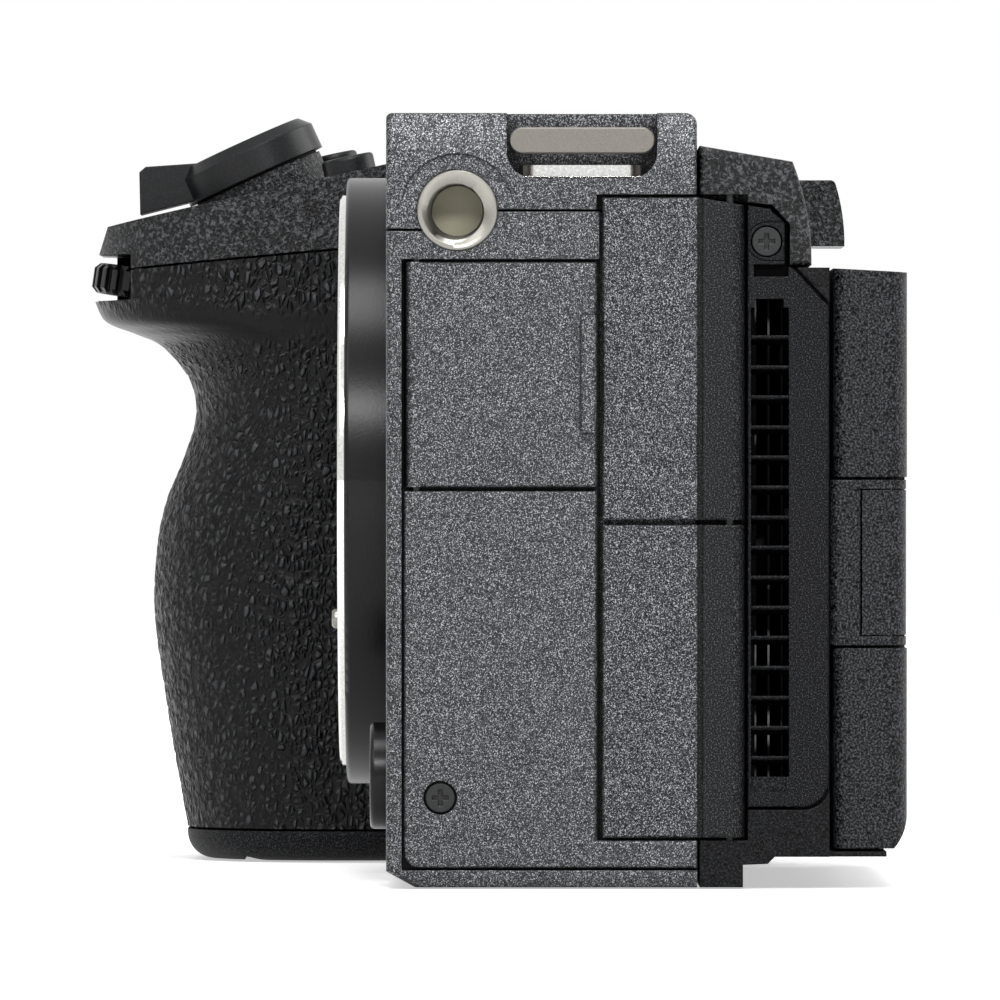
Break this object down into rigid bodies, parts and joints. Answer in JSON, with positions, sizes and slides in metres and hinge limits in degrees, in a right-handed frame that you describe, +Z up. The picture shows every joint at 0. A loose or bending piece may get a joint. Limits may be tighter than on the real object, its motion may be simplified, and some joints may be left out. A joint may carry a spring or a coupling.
{
  "type": "box-style cinema camera body",
  "caption": "Compact box-shaped cinema camera body with a bayonet lens mount, a hand grip, side connector doors, a vented cooling column and a swing-out rear screen.",
  "frame": {"origin": "mouth of the tripod socket in the base, straight under the lens axis", "axes": "+Z up, -Y is the way the lens looks, +X is the connector side and -X the hand grip"},
  "size_m": [0.1303, 0.0855, 0.0806],
  "materials": {
    "grey_casting": "fine speckled metallic paint, satin",
    "grey_panel": "fine speckled metallic paint, satin",
    "black_moulding": "fine spark-eroded texture, matt",
    "black_gloss": "smooth, semi-gloss",
    "black_metal": "black anodised, satin",
    "grip_rubber": "pebbled leather grain",
    "steel": "satin nickel",
    "polished_steel": "polished",
    "bare_aluminium": "extruded, bare",
    "screw_black": "black oxide",
    "green_board": "solder mask, semi-gloss",
    "sensor_glass": "coated cover glass",
    "screen_glass": "black cover glass",
    "gold_contacts": "gold plated"
  },
  "bodies": {
    "camera": {"main_shell": "grey_casting", "top_cover": "grey_casting", "side_panel": "grey_panel", "rear_housing": "black_moulding", "rear_top_cover": "black_moulding", "vent_cover": "black_moulding", "heat_sink": "bare_aluminium", "fan_housing": "black_moulding", "mount_collar": "black_metal", "lens_flange": "polished_steel", "mount_screws": "steel", "mount_contacts": "gold_contacts", "sensor_frame": "black_moulding", "image_sensor": "sensor_glass", "main_board": "green_board", "hdmi_socket": "steel", "usb_sockets": "steel", "audio_jacks": "black_gloss", "side_thread_insert": "steel", "top_thread_inserts": "steel", "tripod_socket": "steel", "strap_bars": "steel", "strap_lips": "polished_steel", "accessory_shoe": "steel", "body_screws": "screw_black", "grip_cover": "grip_rubber", "grip_frame": "black_moulding", "base_plate": "black_moulding", "grip_top_cap": "black_moulding", "thumb_rest": "grip_rubber", "battery": "black_moulding", "card_slots": "black_moulding", "screen_bracket": "black_moulding", "dial_axles": "steel", "hinge_pins": "steel"},
    "screen": {"screen_arm": "black_gloss", "screen_shell": "black_moulding", "screen_glass": "screen_glass"},
    "front_port_door": {"front_port_door": "grey_panel"},
    "upper_port_door": {"upper_port_door": "grey_panel"},
    "lower_port_door": {"lower_port_door": "grey_panel"},
    "card_door": {"card_door": "black_moulding"},
    "battery_door": {"battery_door": "black_moulding"},
    "battery_latch": {"battery_latch": "black_moulding"},
    "zoom_lever": {"zoom_lever": "black_gloss"},
    "shutter_button": {"shutter_button": "black_metal"},
    "record_button": {"record_button": "grey_panel"},
    "iso_button": {"iso_button": "grey_panel"},
    "front_dial": {"front_dial": "black_metal"},
    "rear_dial": {"rear_dial": "black_metal"},
    "power_switch": {"power_switch": "black_moulding"},
    "control_wheel": {"control_wheel": "black_metal"},
    "centre_button": {"centre_button": "black_moulding"},
    "stick_gimbal": {"stick_gimbal": "black_moulding"},
    "joystick": {"joystick": "grip_rubber"},
    "menu_button": {"menu_button": "black_moulding"},
    "playback_button": {"playback_button": "black_moulding"},
    "lens_release_button": {"lens_release_button": "black_metal"},
    "lens_lock_pin": {"lens_lock_pin": "steel"},
    "fan_rotor": {"fan_rotor": "black_moulding"}
  },
  "joints": [
    {"name": "front_port_door_hinge", "type": "hinge", "parent": "camera", "child": "front_port_door", "pos_m": [0.0468, -0.01264, 0.0515], "axis": [0, 0, -1], "range_deg": [0, 100]},
    {"name": "upper_port_door_hinge", "type": "hinge", "parent": "camera", "child": "upper_port_door", "pos_m": [0.0465, 0.0189, 0.0531], "axis": [0, 0, 1], "range_deg": [0, 100]},
    {"name": "lower_port_door_hinge", "type": "hinge", "parent": "camera", "child": "lower_port_door", "pos_m": [0.0465, 0.0189, 0.0207], "axis": [0, 0, 1], "range_deg": [0, 100]},
    {"name": "card_door_hinge", "type": "hinge", "parent": "camera", "child": "card_door", "pos_m": [-0.0805, 0.014, 0.035], "axis": [0, 0, -1], "range_deg": [0, 100]},
    {"name": "battery_door_hinge", "type": "hinge", "parent": "camera", "child": "battery_door", "pos_m": [-0.0521, -0.01125, 0.0014], "axis": [0, -1, 0], "range_deg": [0, 90]},
    {"name": "battery_latch_slide", "type": "slide", "parent": "battery_door", "child": "battery_latch", "axis": [1, 0, 0], "range_m": [0, 0.0025]},
    {"name": "screen_swing", "type": "hinge", "parent": "camera", "child": "screen", "pos_m": [0.04395, 0.03445, 0.03261], "axis": [0, 0, -1], "range_deg": [0, 176]},
    {"name": "zoom_lever_turn", "type": "hinge", "parent": "camera", "child": "zoom_lever", "pos_m": [-0.0658, -0.0308, 0.0742], "axis": [0, -0.4147, 0.91], "range_deg": [-15, 15], "stiffness_Nm_per_rad": 0.02},
    {"name": "shutter_button_press", "type": "slide", "parent": "camera", "child": "shutter_button", "axis": [0, 0.4147, -0.91], "range_m": [0, 0.0008], "stiffness_N_per_m": 400},
    {"name": "record_button_press", "type": "slide", "parent": "camera", "child": "record_button", "axis": [0, 0.213, -0.977], "range_m": [0, 0.0008], "stiffness_N_per_m": 400},
    {"name": "iso_button_press", "type": "slide", "parent": "camera", "child": "iso_button", "axis": [0, 0.213, -0.977], "range_m": [0, 0.0008], "stiffness_N_per_m": 400},
    {"name": "front_dial_spin", "type": "hinge", "parent": "camera", "child": "front_dial", "pos_m": [-0.0658, -0.0403, 0.06207], "axis": [0, 0.1392, 0.9903], "continuous": true},
    {"name": "rear_dial_spin", "type": "hinge", "parent": "camera", "child": "rear_dial", "pos_m": [-0.056, 0.0156, 0.0716], "axis": [0, 0, 1], "continuous": true},
    {"name": "power_switch_slide", "type": "slide", "parent": "camera", "child": "power_switch", "axis": [1, 0, 0], "range_m": [0, 0.0035]},
    {"name": "control_wheel_spin", "type": "hinge", "parent": "camera", "child": "control_wheel", "pos_m": [-0.059, 0.0235, 0.03], "axis": [0, 1, 0], "continuous": true},
    {"name": "centre_button_press", "type": "slide", "parent": "camera", "child": "centre_button", "axis": [0, -1, 0], "range_m": [0, 0.0005], "stiffness_N_per_m": 400},
    {"name": "stick_tilt_up_down", "type": "hinge", "parent": "camera", "child": "stick_gimbal", "pos_m": [-0.055, 0.021, 0.056], "axis": [1, 0, 0], "range_deg": [-6, 6], "stiffness_Nm_per_rad": 0.01},
    {"name": "stick_tilt_sideways", "type": "hinge", "parent": "stick_gimbal", "child": "joystick", "pos_m": [-0.055, 0.021, 0.056], "axis": [0, 0, 1], "range_deg": [-6, 6], "stiffness_Nm_per_rad": 0.01},
    {"name": "menu_button_press", "type": "slide", "parent": "camera", "child": "menu_button", "axis": [0, -1, 0], "range_m": [0, 0.0006], "stiffness_N_per_m": 400},
    {"name": "playback_button_press", "type": "slide", "parent": "camera", "child": "playback_button", "axis": [0, -1, 0], "range_m": [0, 0.0006], "stiffness_N_per_m": 400},
    {"name": "lens_release_press", "type": "slide", "parent": "camera", "child": "lens_release_button", "axis": [0, 1, 0], "range_m": [0, 0.001], "stiffness_N_per_m": 400},
    {"name": "lens_lock_pin_slide", "type": "slide", "parent": "camera", "child": "lens_lock_pin", "axis": [0, 1, 0], "range_m": [0, 0.0008]},
    {"name": "fan_spin", "type": "hinge", "parent": "camera", "child": "fan_rotor", "pos_m": [-0.006, 0.021, 0.034], "axis": [0, 1, 0], "continuous": true}
  ],
  "couplings": [
    {"joint": "lens_lock_pin_slide", "follows": "lens_release_press", "ratio": 0.8}
  ]
}
